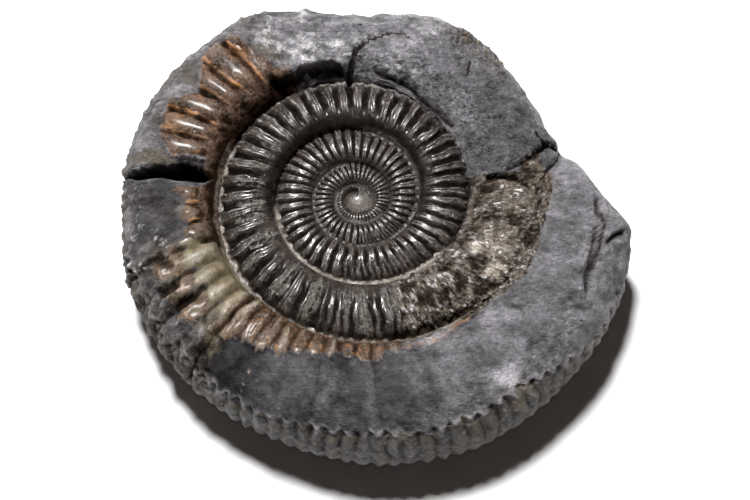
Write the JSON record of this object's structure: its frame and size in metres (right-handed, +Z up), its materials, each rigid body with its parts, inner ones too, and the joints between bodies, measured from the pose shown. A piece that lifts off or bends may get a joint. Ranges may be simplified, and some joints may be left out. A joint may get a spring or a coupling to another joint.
{
  "type": "ammonite fossil",
  "caption": "Ribbed, flat-coiled ammonite in dark shale, lying on its side with its mouth snapped off; a display or study fossil.",
  "frame": {"origin": "where the coiling axis meets the flat face that the fossil rests on", "axes": "+Z up along the coiling axis, out of the side that shows the coil; +X towards the broken mouth; the coil opens anticlockwise from above"},
  "size_m": [0.09, 0.0842, 0.0222],
  "materials": {
    "fossil_stone": "dark shale with glossy bronze and brown shell"
  },
  "bodies": {
    "root": {"ammonite_fossil": "fossil_stone"}
  },
  "joints": []
}
